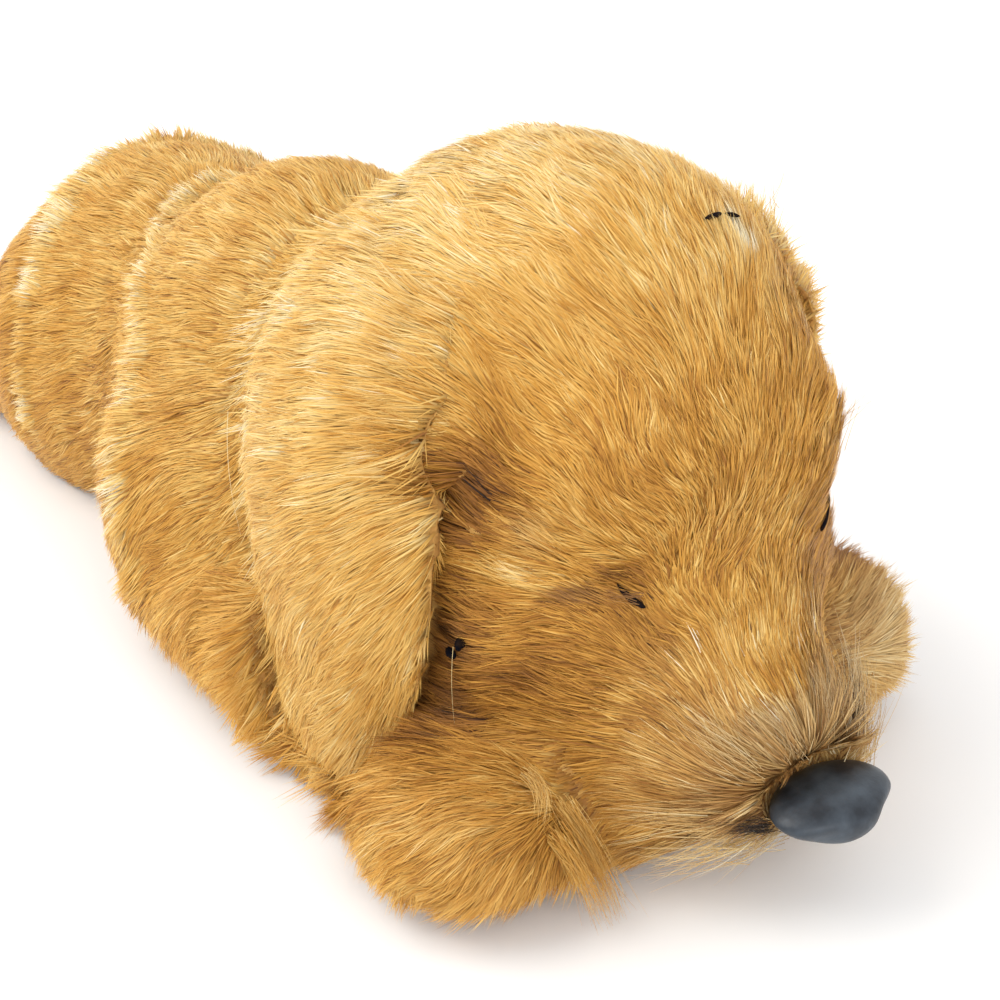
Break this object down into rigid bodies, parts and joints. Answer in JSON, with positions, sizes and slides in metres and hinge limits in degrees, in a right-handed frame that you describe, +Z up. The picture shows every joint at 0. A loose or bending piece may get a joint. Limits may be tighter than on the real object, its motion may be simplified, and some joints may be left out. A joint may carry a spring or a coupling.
{
  "type": "dog figurine",
  "caption": "Sleeping puppy ornament covered in short golden fur, lying flat with its head between its forepaws, hanging ear flaps and a moulded black nose.",
  "frame": {"origin": "on the floor under the middle of the figure, centre of the bounding box's underside", "axes": "+Z up, nose towards -Y, tail towards +Y, the dog's right side towards -X"},
  "size_m": [0.0778, 0.1904, 0.0707],
  "materials": {
    "golden_fur": "short golden brown fur over a moulded form",
    "ear_fur": "pale golden fur flap",
    "nose_plastic": "satin black moulded plastic"
  },
  "bodies": {
    "root": {"body": "golden_fur", "right_ear": "ear_fur", "left_ear": "ear_fur", "nose": "nose_plastic"}
  },
  "joints": []
}
